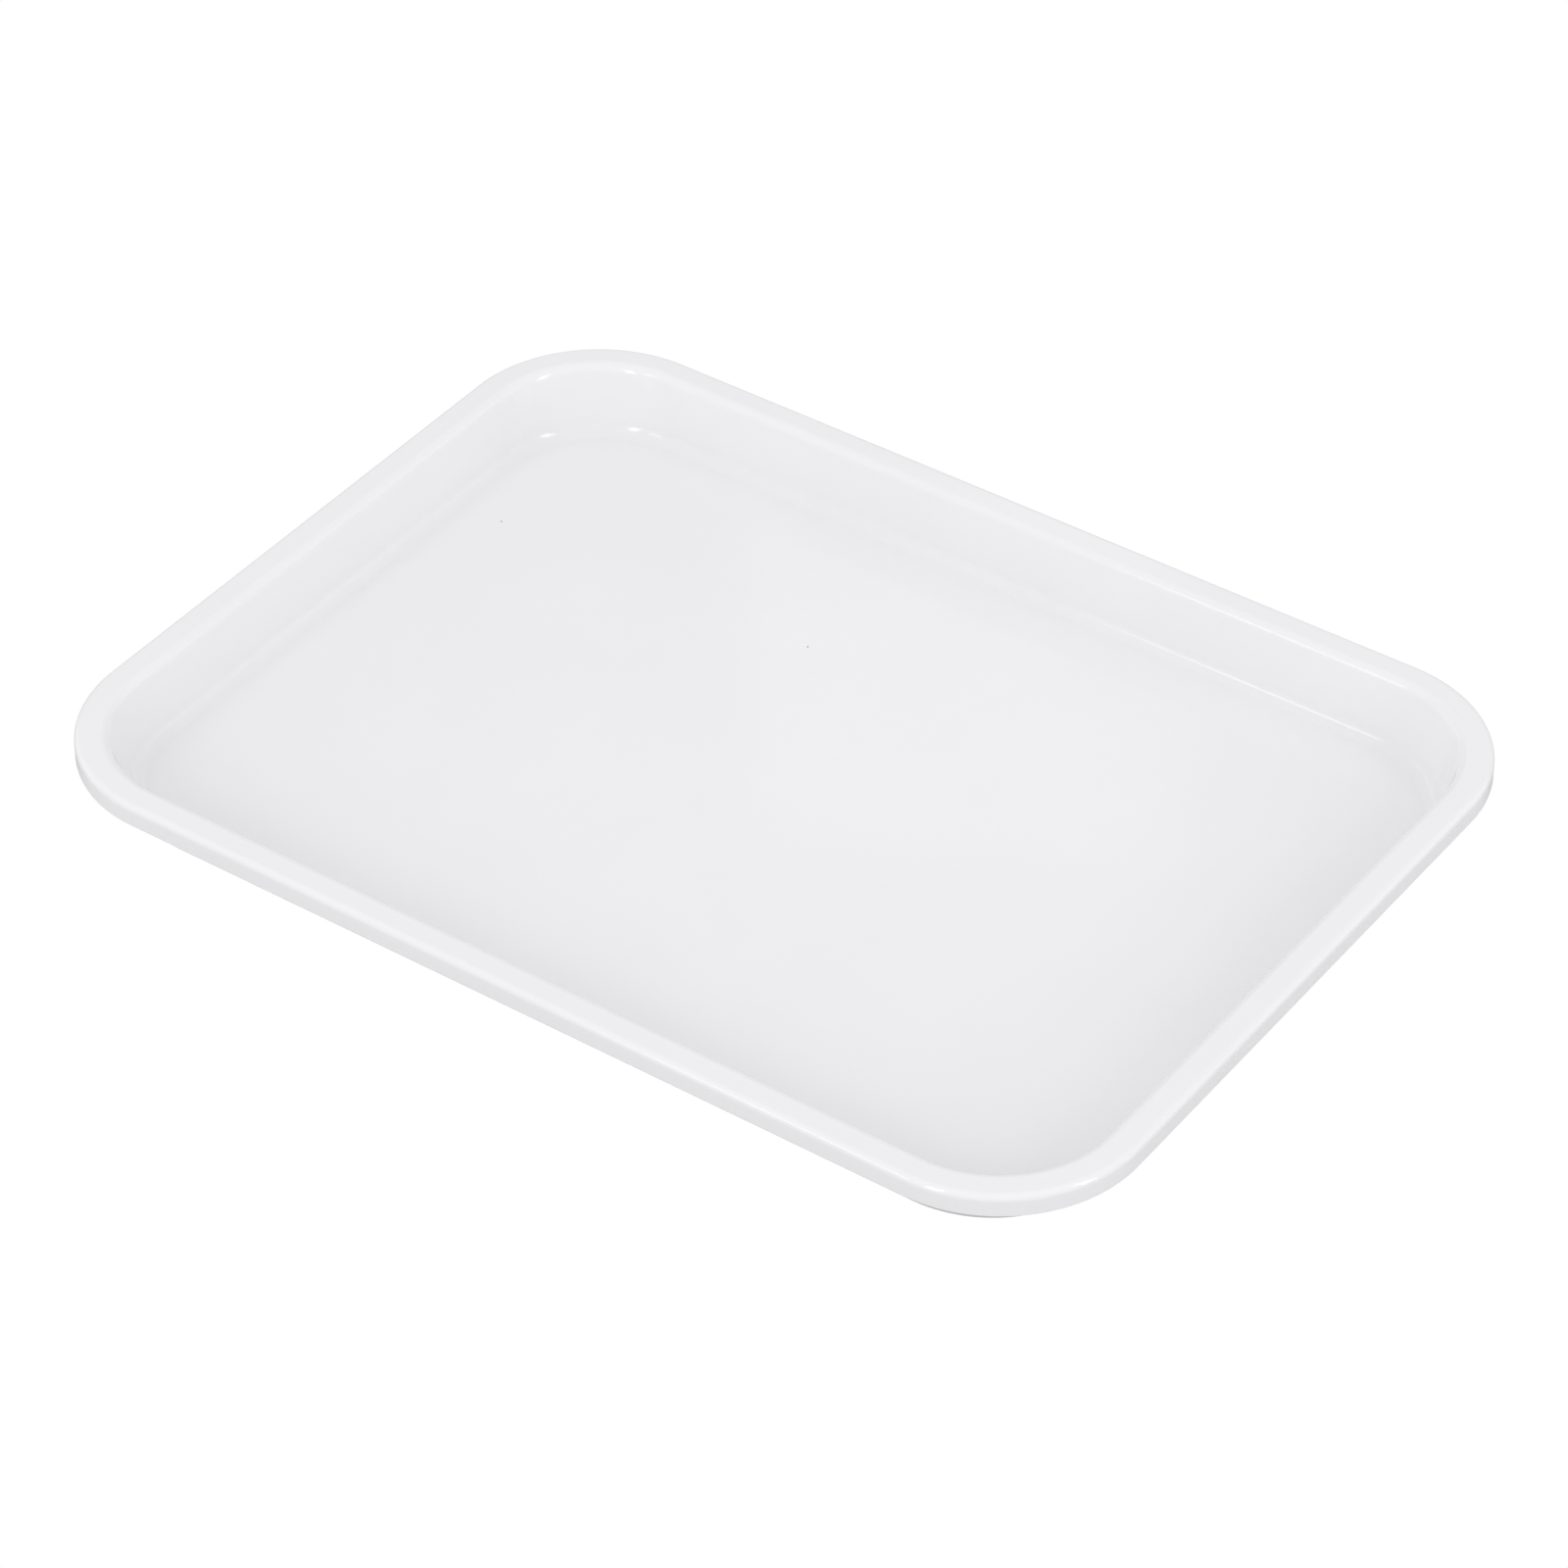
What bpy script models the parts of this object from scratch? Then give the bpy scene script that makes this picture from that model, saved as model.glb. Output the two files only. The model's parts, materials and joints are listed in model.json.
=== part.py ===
"""A shallow one-piece paint tray: a thin moulded shell with a turned-down rim and a flat floor.

Units are metres and +Z is up. +X runs along the tray's long side, and the origin is the centre of
the flat underside, so the tray stands on z = 0.
"""

import math

import bpy

# Plan of the moulding, measured to the outside of its rim.
LENGTH = 0.380
WIDTH = 0.285
CORNER_RADIUS = 0.0485
CORNER_EASE = 0.006                  # the well's corners are this much rounder at the floor

# Section of the moulding, measured on its upper, glossy side.
DEPTH = 0.0234                       # from the top of the rim down to the floor
SHELL_THICKNESS = 0.0016
SKIRT_HEIGHT = 0.0076                # the rim's outer edge turns down by this much
OUTER_EDGE_RADIUS = 0.0022           # rim to skirt
RIM_FLAT_END = 0.0077                # where the rim's flat ends, in from its outer edge
INNER_EDGE_RADIUS = 0.0032           # rim to wall
WALL_DRAFT = math.radians(10.0)      # how far the inner wall leans from upright
FLOOR_FILLET_RADIUS = 0.0045         # wall to floor
FLOOR_MARGIN = 0.0040                # level band of floor inside the fillet

# Facets.
CORNER_SEGMENTS = 12
OUTER_EDGE_SEGMENTS = 4
INNER_EDGE_SEGMENTS = 4
FILLET_SEGMENTS = 6

TRAY_HEIGHT = DEPTH + SHELL_THICKNESS
WALL_SWEEP = math.pi / 2 - WALL_DRAFT
SMOOTH_BELOW = math.radians(30.0)

PLASTIC_COLOUR = (0.90, 0.90, 0.91, 1.0)
PLASTIC_ROUGHNESS = 0.12


def clear_scene():
    """Remove every object, so that the file holds only the tray."""
    for scene_object in list(bpy.data.objects):
        bpy.data.objects.remove(scene_object, do_unlink=True)


def gloss_plastic():
    """Cool white moulded plastic."""
    material = bpy.data.materials.new("tray_plastic")
    material.use_nodes = True
    shader = material.node_tree.nodes["Principled BSDF"]
    shader.inputs["Base Color"].default_value = PLASTIC_COLOUR
    shader.inputs["Roughness"].default_value = PLASTIC_ROUGHNESS
    shader.inputs["Metallic"].default_value = 0.0
    return material


def arc_steps(radius, start, end, segments):
    """Steps (inward, upward) round an arc, given by the angle that its surface leans from level."""
    angles = [start + (end - start) * i / segments for i in range(segments + 1)]
    steps = []
    for first, second in zip(angles, angles[1:]):
        inward = radius * (math.sin(second) - math.sin(first))
        upward = radius * (math.cos(second) - math.cos(first))
        steps.append((inward, upward))
    return steps


def rim_steps():
    """Up the skirt, over the rim and down to the start of the wall."""
    skirt = (0.0, SKIRT_HEIGHT - OUTER_EDGE_RADIUS)
    outer_edge = arc_steps(OUTER_EDGE_RADIUS, -math.pi / 2, 0.0, OUTER_EDGE_SEGMENTS)
    flat = (RIM_FLAT_END - OUTER_EDGE_RADIUS, 0.0)
    inner_edge = arc_steps(INNER_EDGE_RADIUS, 0.0, WALL_SWEEP, INNER_EDGE_SEGMENTS)
    return [skirt, *outer_edge, flat, *inner_edge]


def well_steps():
    """Down the wall, round the fillet and on to the floor."""
    rounded_drop = (INNER_EDGE_RADIUS + FLOOR_FILLET_RADIUS) * (1.0 - math.cos(WALL_SWEEP))
    wall_drop = DEPTH - rounded_drop
    wall = (wall_drop * math.tan(WALL_DRAFT), -wall_drop)
    # A hollow fillet is an arc of negative radius, followed from the wall's lean back to level.
    fillet = arc_steps(-FLOOR_FILLET_RADIUS, WALL_SWEEP, 0.0, FILLET_SEGMENTS)
    return [wall, *fillet, (FLOOR_MARGIN, 0.0)]


def corner_radius(inward, height):
    """The plan's corner radius. Round the well it eases out from parallel, down to the floor."""
    if inward <= RIM_FLAT_END:
        return CORNER_RADIUS - inward
    return CORNER_RADIUS - inward + CORNER_EASE * (TRAY_HEIGHT - height) / DEPTH


def ring(inward, height):
    """A level loop of points: the rim's outline drawn in by inward, anticlockwise from above."""
    radius = corner_radius(inward, height)
    reach_x = LENGTH / 2 - inward - radius
    reach_y = WIDTH / 2 - inward - radius
    points = []
    for quarter, (side_x, side_y) in enumerate([(1, 1), (-1, 1), (-1, -1), (1, -1)]):
        for step in range(CORNER_SEGMENTS + 1):
            angle = (quarter + step / CORNER_SEGMENTS) * math.pi / 2
            points.append((side_x * reach_x + radius * math.cos(angle),
                           side_y * reach_y + radius * math.sin(angle), height))
    return points


def upper_surface():
    """The tray's upper side as one open sheet, drawn inward from the foot of the skirt."""
    inward = 0.0
    height = TRAY_HEIGHT - SKIRT_HEIGHT
    rings = [ring(inward, height)]
    for step_inward, step_upward in rim_steps() + well_steps():
        inward += step_inward
        height += step_upward
        rings.append(ring(inward, height))

    count = len(rings[0])
    faces = []
    for outer in range(0, (len(rings) - 1) * count, count):
        for i in range(count):
            j = (i + 1) % count
            faces.append((outer + i, outer + j, outer + count + j, outer + count + i))
    faces.append(tuple(range((len(rings) - 1) * count, len(rings) * count)))

    data = bpy.data.meshes.new("tray")
    data.from_pydata([point for points in rings for point in points], [], faces)
    data.update()
    return data


def build_tray(collection):
    """The moulding: its upper side, thickened downwards."""
    tray = bpy.data.objects.new("tray", upper_surface())
    tray.data.materials.append(gloss_plastic())
    tray.data.shade_smooth()
    tray.data.set_sharp_from_angle(angle=SMOOTH_BELOW)
    collection.objects.link(tray)

    shell = tray.modifiers.new("shell", "SOLIDIFY")
    shell.thickness = SHELL_THICKNESS
    shell.offset = -1.0
    shell.use_even_offset = True
    shell.use_quality_normals = True
    return tray


def main():
    clear_scene()
    collection = bpy.data.collections.new("paint_tray")
    bpy.context.scene.collection.children.link(collection)
    build_tray(collection)


main()
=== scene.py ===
"""A gloss white moulded paint tray in plain soft studio light.

Metres throughout, in the CAD model's frame: +Z is up, +X runs along the tray's long side and the
origin is on the ground under the tray's centre. Azimuth 0 is the -Y side and 90 the +X side.
"""

import json
import math

import bpy
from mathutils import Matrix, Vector


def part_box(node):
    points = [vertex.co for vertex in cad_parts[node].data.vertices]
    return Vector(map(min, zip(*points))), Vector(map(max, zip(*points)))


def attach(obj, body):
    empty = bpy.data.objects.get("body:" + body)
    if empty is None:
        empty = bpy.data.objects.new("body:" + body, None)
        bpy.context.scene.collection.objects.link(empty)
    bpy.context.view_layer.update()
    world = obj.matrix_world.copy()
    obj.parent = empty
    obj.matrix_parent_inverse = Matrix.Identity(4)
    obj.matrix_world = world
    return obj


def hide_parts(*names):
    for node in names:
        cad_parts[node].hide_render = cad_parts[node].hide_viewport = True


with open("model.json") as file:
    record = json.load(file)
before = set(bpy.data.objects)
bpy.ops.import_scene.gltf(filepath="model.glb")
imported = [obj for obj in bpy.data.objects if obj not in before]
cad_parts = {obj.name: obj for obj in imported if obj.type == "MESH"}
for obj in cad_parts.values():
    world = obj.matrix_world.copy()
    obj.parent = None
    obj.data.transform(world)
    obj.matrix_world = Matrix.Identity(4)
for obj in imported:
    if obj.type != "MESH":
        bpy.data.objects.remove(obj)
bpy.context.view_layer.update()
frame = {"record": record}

# The tray's overall size and its floor come from the CAD model.
TRAY_LOW, TRAY_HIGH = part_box("tray")
LENGTH, WIDTH, HEIGHT = TRAY_HIGH - TRAY_LOW
MOUNTS = {mount["name"]: mount for mount in frame["record"]["mounts"]}
SHELL_THICKNESS = MOUNTS["well_floor"]["pos_m"][2]
DEPTH = HEIGHT - SHELL_THICKNESS

# Its section, as in the CAD model.
CORNER_RADIUS = 0.0485
CORNER_EASE = 0.006
SKIRT_HEIGHT = 0.0076
OUTER_EDGE_RADIUS = 0.0022
RIM_FLAT_END = 0.0077
INNER_EDGE_RADIUS = 0.0032
WALL_DRAFT = math.radians(10.0)
FLOOR_FILLET_RADIUS = 0.0045
FLOOR_MARGIN = 0.0040
WALL_SWEEP = math.pi / 2 - WALL_DRAFT

# Fine facets, so that edges read as round in the gloss.
CORNER_SEGMENTS = 56
OUTER_EDGE_SEGMENTS = 10
INNER_EDGE_SEGMENTS = 12
FILLET_SEGMENTS = 14
FOOT_EDGE_RADIUS = 0.00035
FOOT_EDGE_SEGMENTS = 3
FOOT_EDGE_OVER = math.radians(60.0)  # edges that turn more sharply than this are rounded
SMOOTH_BELOW = math.radians(35.0)

# The plastic.
PLASTIC_WHITE = (0.900, 0.898, 0.915, 1.0)
PLASTIC_WHITE_SHADED = (0.892, 0.890, 0.908, 1.0)
PLASTIC_IOR = 1.5
POLISHED = 0.05                      # roughness of its glossiest patches
RUBBED = 0.09                        # and of its dullest
DRIFTS_PER_METRE = 22.0              # of the colour, between the two whites
POLISH_PATCHES_PER_METRE = 60.0
SCUFFS_PER_METRE = 30.0
SCUFF_STRETCH = 40.0                 # how many times longer than wide a scuff is
SCUFF_RANGE = (0.66, 0.74)           # noise at which a scuff begins, and is at its full depth
SCUFF_TURNS = (math.radians(28.0), math.radians(-62.0))
SCUFF_DULLNESS = 0.04
SCUFF_DEPTH = 0.000004
WARPS_PER_METRE = 16.0
WARP_HEIGHT = 0.00006
PEELS_PER_METRE = 450.0
PEEL_HEIGHT = 0.0000015
SPECK_SPACING = 0.012
SPECK_RADIUS = 0.00040
SPECK_SHARE = 0.10
SPECK_COLOUR = (0.16, 0.15, 0.14, 1.0)

# Marks of the mould on the underside.
EJECTOR_MARK_RADIUS = 0.005
EJECTOR_MARK_DEPTH = 0.00012
EJECTOR_MARKS = [(x, y) for x in (-0.120, 0.0, 0.120) for y in (-0.078, 0.078)]
GATE_DIMPLE_RADIUS = 0.007
GATE_DIMPLE_DEPTH = 0.0004
GATE_STUB_RADIUS = 0.0013
GATE_STUB_CLEARANCE = 0.0001         # how far the cut-off stub stays above the ground
MARK_SEGMENTS = 48
CUT_BELOW = -0.001                   # height at which the cutters start, under the tray

# The studio. Light levels are in units of the pure white floor's.
FLOOR_SIZE = 12.0
TABLE_GAP = 0.0005
TABLE_GREY = 0.66
FILL_AZIMUTH = math.radians(25.0)
FILL_ELEVATION = math.radians(21.0)
FILL_LEVEL = 0.80
FILL_SLOPE = 0.09

# The photographer's view.
VIEW_AZIMUTH = math.radians(35.24)
VIEW_ELEVATION = math.radians(39.30)
VIEW_DISTANCE = 1.8219
VIEW_TARGET = Vector((0.0140, -0.0192, HEIGHT))
VIEW_LENS = 137.45
VIEW_SENSOR = 36.0
VIEW_REACH = 50.0                    # how far the camera sees


def direction(azimuth, elevation):
    """Unit vector from the tray towards a point at this azimuth and elevation, in radians."""
    level = math.cos(elevation)
    return Vector((math.sin(azimuth) * level, -math.cos(azimuth) * level, math.sin(elevation)))


# ---------------------------------------------------------------- material

class Nodes:
    """A short way to add and join shader nodes in one material."""

    def __init__(self, material):
        material.use_nodes = True
        self.tree = material.node_tree
        self.shader = self.tree.nodes["Principled BSDF"]
        self.place = self.add("ShaderNodeTexCoord").outputs["Object"]

    def add(self, kind, settings=None, **inputs):
        """Adds a node. Each input is a value, or the socket that feeds it."""
        node = self.tree.nodes.new(kind)
        for name, value in (settings or {}).items():
            setattr(node, name, value)
        for name, value in inputs.items():
            socket = node.inputs[name.replace("_", " ")]
            if isinstance(value, bpy.types.NodeSocket):
                self.tree.links.new(value, socket)
            else:
                socket.default_value = value
        return node

    def noise(self, features_per_metre, detail, stretch=(1.0, 1.0, 1.0), turn=0.0):
        """Noise from 0 to 1, with this many features to the metre."""
        mapping = self.add("ShaderNodeMapping", Vector=self.place, Scale=stretch,
                           Rotation=(0.0, 0.0, turn))
        noise = self.add("ShaderNodeTexNoise", Vector=mapping.outputs["Vector"],
                         Scale=features_per_metre, Detail=detail)
        return noise.outputs["Fac"]

    def ramp(self, value, low, high, to_low=0.0, to_high=1.0):
        """value stretched from low..high to to_low..to_high, and held at both ends."""
        settings = {"clamp": True, "interpolation_type": "LINEAR"}
        node = self.add("ShaderNodeMapRange", settings, Value=value, From_Min=low, From_Max=high,
                        To_Min=to_low, To_Max=to_high)
        return node.outputs["Result"]

    def math(self, operation, first, second):
        """One sum on two values or sockets."""
        node = self.add("ShaderNodeMath", {"operation": operation})
        for socket, value in zip(node.inputs, (first, second)):
            if isinstance(value, bpy.types.NodeSocket):
                self.tree.links.new(value, socket)
            else:
                socket.default_value = value
        return node.outputs["Value"]

    def blend(self, share, first, second):
        """first where share is 0 and second where it is 1."""
        node = self.add("ShaderNodeMix", {"data_type": "RGBA"})
        colour_sockets = [socket for socket in node.inputs if socket.type == "RGBA"]
        self.tree.links.new(share, node.inputs["Factor"])
        for socket, value in zip(colour_sockets, (first, second)):
            if isinstance(value, bpy.types.NodeSocket):
                self.tree.links.new(value, socket)
            else:
                socket.default_value = value
        return next(socket for socket in node.outputs if socket.type == "RGBA")


def gloss_white_plastic():
    """Cool white moulded plastic: faintly mottled, finely scuffed, with a few specks of dirt."""
    material = bpy.data.materials.new("gloss_white_plastic")
    nodes = Nodes(material)

    # Colour: two near whites drift into each other, and a few specks lie on them.
    drift = nodes.noise(DRIFTS_PER_METRE, detail=3.0)
    white = nodes.blend(nodes.ramp(drift, 0.35, 0.65), PLASTIC_WHITE, PLASTIC_WHITE_SHADED)
    cells = nodes.add("ShaderNodeTexVoronoi", Vector=nodes.place, Scale=1.0 / SPECK_SPACING)
    near = nodes.ramp(cells.outputs["Distance"], SPECK_RADIUS / SPECK_SPACING,
                      0.5 * SPECK_RADIUS / SPECK_SPACING)
    pick = nodes.add("ShaderNodeSeparateColor", Color=cells.outputs["Color"]).outputs["Red"]
    picked = nodes.math("GREATER_THAN", pick, 1.0 - SPECK_SHARE)
    speck = nodes.math("MULTIPLY", near, picked)
    colour = nodes.blend(speck, white, SPECK_COLOUR)
    nodes.tree.links.new(colour, nodes.shader.inputs["Base Color"])

    # Gloss: uneven polish, dulled a little more along hairline scuffs in two directions.
    polish = nodes.ramp(nodes.noise(POLISH_PATCHES_PER_METRE, detail=4.0), 0.3, 0.7, POLISHED,
                        RUBBED)
    scuffs = []
    for turn in SCUFF_TURNS:
        streaks = nodes.noise(SCUFFS_PER_METRE, detail=2.0, stretch=(1.0, SCUFF_STRETCH, 1.0),
                              turn=turn)
        scuffs.append(nodes.ramp(streaks, *SCUFF_RANGE))
    scuffed = nodes.math("MAXIMUM", scuffs[0], scuffs[1])
    roughness = nodes.math("ADD", polish, nodes.math("MULTIPLY", scuffed, SCUFF_DULLNESS))
    nodes.tree.links.new(roughness, nodes.shader.inputs["Roughness"])
    nodes.shader.inputs["IOR"].default_value = PLASTIC_IOR

    # Relief: a slow warp from cooling, fine orange peel from the mould, and the scuffs.
    warp = nodes.add("ShaderNodeBump", Height=nodes.noise(WARPS_PER_METRE, detail=1.0),
                     Distance=WARP_HEIGHT)
    peel = nodes.add("ShaderNodeBump", Height=nodes.noise(PEELS_PER_METRE, detail=2.0),
                     Distance=PEEL_HEIGHT, Normal=warp.outputs["Normal"])
    scratch = nodes.add("ShaderNodeBump", {"invert": True}, Height=scuffed, Distance=SCUFF_DEPTH,
                        Normal=peel.outputs["Normal"])
    nodes.tree.links.new(scratch.outputs["Normal"], nodes.shader.inputs["Normal"])
    return material


# ---------------------------------------------------------------- tray

def arc_steps(radius, start, end, segments):
    """Steps (inward, upward) round an arc, given by the angle that its surface leans from level."""
    angles = [start + (end - start) * i / segments for i in range(segments + 1)]
    steps = []
    for first, second in zip(angles, angles[1:]):
        inward = radius * (math.sin(second) - math.sin(first))
        upward = radius * (math.cos(second) - math.cos(first))
        steps.append((inward, upward))
    return steps


def section_steps():
    """Up the skirt, over the rim, down the wall, round the fillet and on to the floor."""
    skirt = (0.0, SKIRT_HEIGHT - OUTER_EDGE_RADIUS)
    outer_edge = arc_steps(OUTER_EDGE_RADIUS, -math.pi / 2, 0.0, OUTER_EDGE_SEGMENTS)
    rim_flat = (RIM_FLAT_END - OUTER_EDGE_RADIUS, 0.0)
    inner_edge = arc_steps(INNER_EDGE_RADIUS, 0.0, WALL_SWEEP, INNER_EDGE_SEGMENTS)
    rounded_drop = (INNER_EDGE_RADIUS + FLOOR_FILLET_RADIUS) * (1.0 - math.cos(WALL_SWEEP))
    wall_drop = DEPTH - rounded_drop
    wall = (wall_drop * math.tan(WALL_DRAFT), -wall_drop)
    fillet = arc_steps(-FLOOR_FILLET_RADIUS, WALL_SWEEP, 0.0, FILLET_SEGMENTS)
    floor_margin = (FLOOR_MARGIN, 0.0)
    return [skirt, *outer_edge, rim_flat, *inner_edge, wall, *fillet, floor_margin]


def corner_radius(inward, height):
    """The plan's corner radius. Round the well it eases out from parallel, down to the floor."""
    if inward <= RIM_FLAT_END:
        return CORNER_RADIUS - inward
    return CORNER_RADIUS - inward + CORNER_EASE * (HEIGHT - height) / DEPTH


def ring(inward, height):
    """A level loop of points: the rim's outline drawn in by inward, anticlockwise from above."""
    radius = corner_radius(inward, height)
    reach_x = LENGTH / 2 - inward - radius
    reach_y = WIDTH / 2 - inward - radius
    points = []
    for quarter, (side_x, side_y) in enumerate([(1, 1), (-1, 1), (-1, -1), (1, -1)]):
        for step in range(CORNER_SEGMENTS + 1):
            angle = (quarter + step / CORNER_SEGMENTS) * math.pi / 2
            points.append((side_x * reach_x + radius * math.cos(angle),
                           side_y * reach_y + radius * math.sin(angle), height))
    return points


def upper_surface():
    """The tray's upper side as one open sheet, drawn inward from the foot of the skirt."""
    inward = 0.0
    height = HEIGHT - SKIRT_HEIGHT
    rings = [ring(inward, height)]
    for step_inward, step_upward in section_steps():
        inward += step_inward
        height += step_upward
        rings.append(ring(inward, height))

    count = len(rings[0])
    faces = []
    for outer in range(0, (len(rings) - 1) * count, count):
        for i in range(count):
            j = (i + 1) % count
            faces.append((outer + i, outer + j, outer + count + j, outer + count + i))
    faces.append(tuple(range((len(rings) - 1) * count, len(rings) * count)))

    data = bpy.data.meshes.new("tray_shell")
    data.from_pydata([point for points in rings for point in points], [], faces)
    data.update()
    return data


def disc(name, centre, radius, low, high):
    """An upright cylinder from low to high, used to cut or fill a mark."""
    bpy.ops.mesh.primitive_cylinder_add(vertices=MARK_SEGMENTS, radius=radius, depth=high - low,
                                        location=(*centre, (low + high) / 2))
    bpy.context.object.name = name
    return bpy.context.object


def mould_marks():
    """Cutters for the round ejector marks and the gate's dimple, and the gate's cut-off stub."""
    cutters = [disc("ejector_mark", place, EJECTOR_MARK_RADIUS, CUT_BELOW, EJECTOR_MARK_DEPTH)
               for place in EJECTOR_MARKS]
    cutters.append(disc("gate_dimple", (0.0, 0.0), GATE_DIMPLE_RADIUS, CUT_BELOW,
                        GATE_DIMPLE_DEPTH))
    stub = disc("gate_stub", (0.0, 0.0), GATE_STUB_RADIUS, GATE_STUB_CLEARANCE,
                GATE_DIMPLE_DEPTH + 0.5 * SHELL_THICKNESS)
    return cutters, stub


def add_boolean(target, operation, tool):
    """Cut the tool out of the target, or join it on."""
    step = target.modifiers.new(operation.lower(), "BOOLEAN")
    step.operation = operation
    step.object = tool


def settle(target):
    """Replace the object's mesh with what its modifiers make of it."""
    graph = bpy.context.evaluated_depsgraph_get()
    finished = bpy.data.meshes.new_from_object(target.evaluated_get(graph))
    target.modifiers.clear()
    target.data = finished


def build_tray():
    """The moulding: its upper side thickened downwards, with the mould's marks underneath."""
    tray = bpy.data.objects.new("tray_shell", upper_surface())
    bpy.context.scene.collection.objects.link(tray)
    tray.data.materials.append(gloss_white_plastic())

    shell = tray.modifiers.new("shell", "SOLIDIFY")
    shell.thickness = SHELL_THICKNESS
    shell.offset = -1.0
    shell.use_even_offset = True
    shell.use_quality_normals = True

    foot = tray.modifiers.new("foot", "BEVEL")
    foot.width = FOOT_EDGE_RADIUS
    foot.segments = FOOT_EDGE_SEGMENTS
    foot.limit_method = "ANGLE"
    foot.angle_limit = FOOT_EDGE_OVER

    cutters, stub = mould_marks()
    for cutter in cutters:
        add_boolean(tray, "DIFFERENCE", cutter)
    add_boolean(tray, "UNION", stub)
    settle(tray)
    for tool in [*cutters, stub]:
        bpy.data.objects.remove(tool)

    tray.data.shade_smooth()
    tray.data.set_sharp_from_angle(angle=SMOOTH_BELOW)
    normals = tray.modifiers.new("normals", "WEIGHTED_NORMAL")
    normals.mode = "FACE_AREA"
    normals.weight = 100
    normals.keep_sharp = True

    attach(tray, "root")
    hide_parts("tray")


# ---------------------------------------------------------------- stage, camera and light

def plane(name, height):
    """A level square of the stage."""
    bpy.ops.mesh.primitive_plane_add(size=FLOOR_SIZE, location=(0.0, 0.0, height))
    floor = bpy.context.object
    floor.name = name
    return floor


def matt(name, grey, glow):
    """A matt grey that also gives off this much white light of its own."""
    material = bpy.data.materials.new(name)
    material.use_nodes = True
    shader = material.node_tree.nodes["Principled BSDF"]
    shader.inputs["Base Color"].default_value = (grey, grey, grey, 1.0)
    shader.inputs["Roughness"].default_value = 1.0
    shader.inputs["Specular IOR Level"].default_value = 0.0
    shader.inputs["Emission Color"].default_value = (1.0, 1.0, 1.0, 1.0)
    shader.inputs["Emission Strength"].default_value = glow
    return material


def build_floor():
    """A burnt-out white floor for the camera, and the grey table that lights the tray's skirt."""
    floor = plane("studio_floor", 0.0)
    floor.data.materials.append(matt("studio_white", grey=0.0, glow=1.0))
    for ray in ("diffuse", "glossy", "transmission", "volume_scatter", "shadow"):
        setattr(floor, "visible_" + ray, False)
    table = plane("studio_table", -TABLE_GAP)
    table.data.materials.append(matt("studio_grey", grey=TABLE_GREY, glow=0.0))
    table.visible_camera = False


def build_camera():
    data = bpy.data.cameras.new("camera")
    data.lens = VIEW_LENS
    data.sensor_width = VIEW_SENSOR
    data.clip_end = VIEW_REACH
    camera = bpy.data.objects.new("camera", data)
    back = direction(VIEW_AZIMUTH, VIEW_ELEVATION)
    camera.location = VIEW_TARGET + back * VIEW_DISTANCE
    camera.rotation_euler = (-back).to_track_quat("-Z", "Y").to_euler()
    bpy.context.scene.collection.objects.link(camera)
    bpy.context.scene.camera = camera


def softbox(name, azimuth, elevation, across, up, radiance, distance=2.0):
    """An area light aimed at the tray. across and up are the angles that it fills, in degrees."""
    width = 2.0 * distance * math.tan(math.radians(across) / 2)
    height = 2.0 * distance * math.tan(math.radians(up) / 2)
    data = bpy.data.lights.new(name, "AREA")
    data.shape = "RECTANGLE"
    data.size = width
    data.size_y = height
    data.energy = math.pi * width * height * radiance
    lamp = bpy.data.objects.new(name, data)
    towards = direction(math.radians(azimuth), math.radians(elevation))
    lamp.location = Vector((0.0, 0.0, DEPTH)) + towards * distance
    lamp.rotation_euler = (-towards).to_track_quat("-Z", "Y").to_euler()
    lamp.visible_camera = False
    bpy.context.scene.collection.objects.link(lamp)


def build_world():
    """Soft light from all round, a little stronger from in front."""
    world = bpy.data.worlds.new("studio")
    bpy.context.scene.world = world
    world.use_nodes = True
    nodes = world.node_tree.nodes
    links = world.node_tree.links
    place = nodes.new("ShaderNodeTexCoord")
    side = nodes.new("ShaderNodeVectorMath")
    side.operation = "DOT_PRODUCT"
    side.inputs[1].default_value = direction(FILL_AZIMUTH, FILL_ELEVATION)
    level = nodes.new("ShaderNodeMath")
    level.operation = "MULTIPLY_ADD"
    level.inputs[1].default_value = FILL_SLOPE
    level.inputs[2].default_value = FILL_LEVEL
    links.new(place.outputs["Generated"], side.inputs[0])
    links.new(side.outputs["Value"], level.inputs[0])
    links.new(level.outputs["Value"], nodes["Background"].inputs["Strength"])
    nodes["Background"].inputs["Color"].default_value = (1.0, 1.0, 1.0, 1.0)


def build_light():
    """Two strips and a smaller box in front, two low boxes at the sides and a weak one behind."""
    build_world()
    softbox("strip_front", azimuth=0.0, elevation=27.0, across=9.0, up=30.0, radiance=4.0)
    softbox("strip_right", azimuth=90.0, elevation=27.0, across=9.0, up=30.0, radiance=3.9)
    softbox("strip_left", azimuth=-22.5, elevation=30.0, across=10.0, up=14.0, radiance=2.6)
    softbox("back_right", azimuth=134.0, elevation=16.0, across=40.0, up=20.0, radiance=0.62)
    softbox("low_left", azimuth=-85.0, elevation=16.0, across=40.0, up=20.0, radiance=0.50)
    softbox("back_panel", azimuth=211.0, elevation=37.0, across=8.0, up=6.0, radiance=0.35)
    bpy.context.scene.view_settings.view_transform = "Standard"


build_tray()
build_floor()
build_camera()
build_light()
